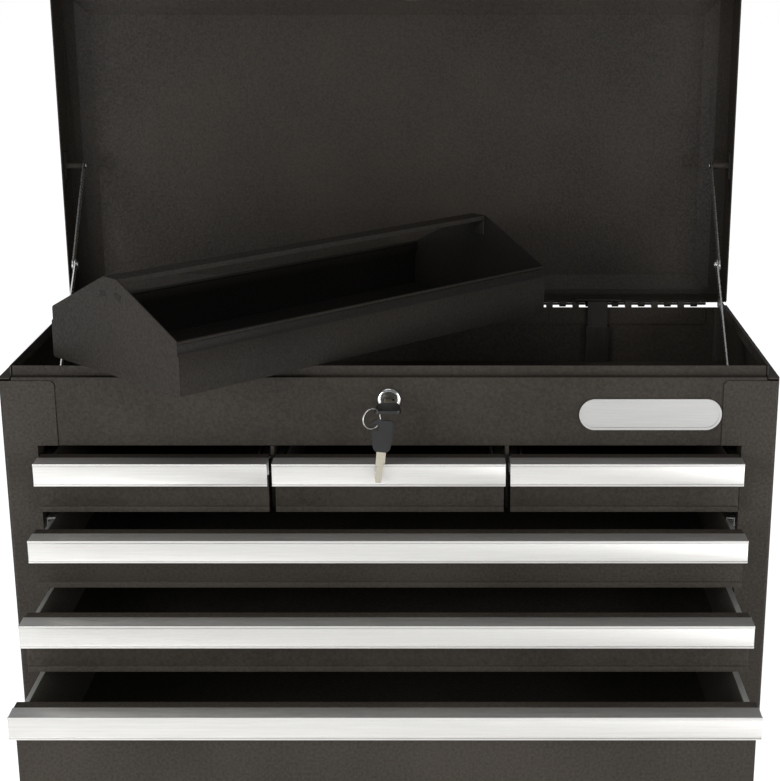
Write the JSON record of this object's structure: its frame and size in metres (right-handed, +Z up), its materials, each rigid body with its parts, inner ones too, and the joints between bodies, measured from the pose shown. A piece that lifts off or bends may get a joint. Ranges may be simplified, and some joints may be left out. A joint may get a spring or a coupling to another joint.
{
  "type": "machinist tool chest",
  "caption": "Steel top chest with pull-out drawers on slides, a hinged lid on folding stays, a key lock with a lid-worked lock bar, side handles and a loose gabled carry tray.",
  "frame": {"origin": "centre of the flat base that the chest stands on", "axes": "+X across the chest to the right seen from the front, -Y out of the drawer fronts, +Z up"},
  "size_m": [0.688, 0.5297, 0.6416],
  "materials": {
    "black_paint": "fine textured powder coat",
    "tray_paint": "fine textured powder coat",
    "aluminium_pull": "satin extrusion",
    "zinc_slide": "zinc plated",
    "bright_steel": "bright plated",
    "lock_chrome": "polished",
    "lock_steel": "turned",
    "key_black": "moulded bow on a steel blade",
    "badge_silver": "satin with a dark rim",
    "zinc_lock_work": "darkened zinc",
    "side_handle_paint": "black paint"
  },
  "bodies": {
    "chest": {"back_panel": "black_paint", "badge_plate": "badge_silver", "bar_guide": "zinc_lock_work", "base_panel": "black_paint", "compartment_floor": "black_paint", "divider_left": "black_paint", "divider_right": "black_paint", "front_fascia": "black_paint", "grip_plate_left": "side_handle_paint", "grip_plate_right": "side_handle_paint", "hinge_leaf_case": "black_paint", "hinge_pin": "black_paint", "lock_barrel": "lock_chrome", "lock_panel": "black_paint", "rails_centre": "zinc_slide", "rails_left": "zinc_slide", "rails_right": "zinc_slide", "side_panel_left": "black_paint", "side_panel_right": "black_paint", "stay_foot_left": "black_paint", "stay_foot_right": "black_paint"},
    "lid": {"lid_shell": "black_paint", "hinge_leaf_lid": "black_paint", "bar_striker": "zinc_lock_work", "lock_hasp": "zinc_lock_work", "stay_head_left": "black_paint", "stay_head_right": "black_paint"},
    "lock": {"lock_plug": "lock_steel"},
    "keys": {"lock_key": "key_black", "key_ring": "bright_steel", "spare_key": "key_black"},
    "lock_bar": {"lock_bar": "zinc_lock_work"},
    "carry_tray": {"tray_trough": "tray_paint", "tray_end_left": "tray_paint", "tray_end_right": "tray_paint", "tray_ridge": "tray_paint"},
    "stay_lower_left": {"stay_lower_left": "bright_steel"},
    "stay_upper_left": {"stay_upper_left": "bright_steel"},
    "grip_left": {"grip_bail_left": "side_handle_paint"},
    "stay_lower_right": {"stay_lower_right": "bright_steel"},
    "stay_upper_right": {"stay_upper_right": "bright_steel"},
    "grip_right": {"grip_bail_right": "side_handle_paint"},
    "small_drawer_left": {"small_drawer_left_body": "black_paint", "small_drawer_left_handle": "aluminium_pull", "small_drawer_left_runners": "zinc_slide"},
    "small_drawer_middle": {"small_drawer_middle_body": "black_paint", "small_drawer_middle_handle": "aluminium_pull", "small_drawer_middle_runners": "zinc_slide"},
    "small_drawer_right": {"small_drawer_right_body": "black_paint", "small_drawer_right_handle": "aluminium_pull", "small_drawer_right_runners": "zinc_slide"},
    "wide_drawer_upper": {"wide_drawer_upper_body": "black_paint", "wide_drawer_upper_handle": "aluminium_pull", "wide_drawer_upper_runners": "zinc_slide"},
    "wide_drawer_lower": {"wide_drawer_lower_body": "black_paint", "wide_drawer_lower_handle": "aluminium_pull", "wide_drawer_lower_runners": "zinc_slide"},
    "deep_drawer": {"deep_drawer_body": "black_paint", "deep_drawer_handle": "aluminium_pull", "deep_drawer_runners": "zinc_slide"}
  },
  "joints": [
    {"name": "lid_hinge", "type": "hinge", "parent": "chest", "child": "lid", "pos_m": [0, 0.1531, 0.336], "axis": [-1, 0, 0], "range_deg": [-90, 0]},
    {"name": "tray_lift_off", "type": "slide", "parent": "chest", "child": "carry_tray", "axis": [0, -0.9848, 0.1736], "range_m": [0, 0.45]},
    {"name": "lock_turn", "type": "hinge", "parent": "chest", "child": "lock", "pos_m": [0, -0.1513, 0.316], "axis": [0, 1, 0], "range_deg": [0, 90]},
    {"name": "key_draw", "type": "slide", "parent": "lock", "child": "keys", "axis": [0, -1, 0], "range_m": [-0.013, 0.217]},
    {"name": "lock_bar_drop", "type": "slide", "parent": "chest", "child": "lock_bar", "axis": [0, 0, 1], "range_m": [-0.0142, 0]},
    {"name": "stay_foot_right", "type": "hinge", "parent": "chest", "child": "stay_lower_right", "pos_m": [0.3075, -0.0125, 0.3035], "axis": [1, 0, 0], "range_deg": [-46.8, 0]},
    {"name": "stay_head_right", "type": "hinge", "parent": "lid", "child": "stay_upper_right", "pos_m": [0.3095, 0.1655, 0.472], "axis": [-1, 0, 0], "range_deg": [-13.3, 0]},
    {"name": "grip_right", "type": "hinge", "parent": "chest", "child": "grip_right", "pos_m": [0.33875, 0, 0.2077], "axis": [0, -1, 0], "range_deg": [0, 90]},
    {"name": "stay_foot_left", "type": "hinge", "parent": "chest", "child": "stay_lower_left", "pos_m": [-0.3075, -0.0125, 0.3035], "axis": [1, 0, 0], "range_deg": [-46.8, 0]},
    {"name": "stay_head_left", "type": "hinge", "parent": "lid", "child": "stay_upper_left", "pos_m": [-0.3095, 0.1655, 0.472], "axis": [-1, 0, 0], "range_deg": [-13.3, 0]},
    {"name": "grip_left", "type": "hinge", "parent": "chest", "child": "grip_left", "pos_m": [-0.33875, 0, 0.2077], "axis": [0, 1, 0], "range_deg": [0, 90]},
    {"name": "small_drawer_left_slide", "type": "slide", "parent": "chest", "child": "small_drawer_left", "axis": [0, -1, 0], "range_m": [-0.013, 0.217]},
    {"name": "small_drawer_middle_slide", "type": "slide", "parent": "chest", "child": "small_drawer_middle", "axis": [0, -1, 0], "range_m": [-0.013, 0.217]},
    {"name": "small_drawer_right_slide", "type": "slide", "parent": "chest", "child": "small_drawer_right", "axis": [0, -1, 0], "range_m": [-0.013, 0.217]},
    {"name": "wide_drawer_upper_slide", "type": "slide", "parent": "chest", "child": "wide_drawer_upper", "axis": [0, -1, 0], "range_m": [-0.05, 0.18]},
    {"name": "wide_drawer_lower_slide", "type": "slide", "parent": "chest", "child": "wide_drawer_lower", "axis": [0, -1, 0], "range_m": [-0.101, 0.129]},
    {"name": "deep_drawer_slide", "type": "slide", "parent": "chest", "child": "deep_drawer", "axis": [0, -1, 0], "range_m": [-0.157, 0.073]}
  ],
  "couplings": [
    {"joint": "key_draw", "follows": "small_drawer_middle_slide", "ratio": 1},
    {"joint": "tray_lift_off", "follows": "lid_hinge", "m_per_rad": -0.2864},
    {"joint": "lock_bar_drop", "follows": "lid_hinge", "m_per_rad": 0.008976},
    {"joint": "stay_foot_right", "follows": "lid_hinge", "ratio": 0.51407},
    {"joint": "stay_head_right", "follows": "lid_hinge", "ratio": 0.14201},
    {"joint": "stay_foot_left", "follows": "lid_hinge", "ratio": 0.51407},
    {"joint": "stay_head_left", "follows": "lid_hinge", "ratio": 0.14201}
  ]
}
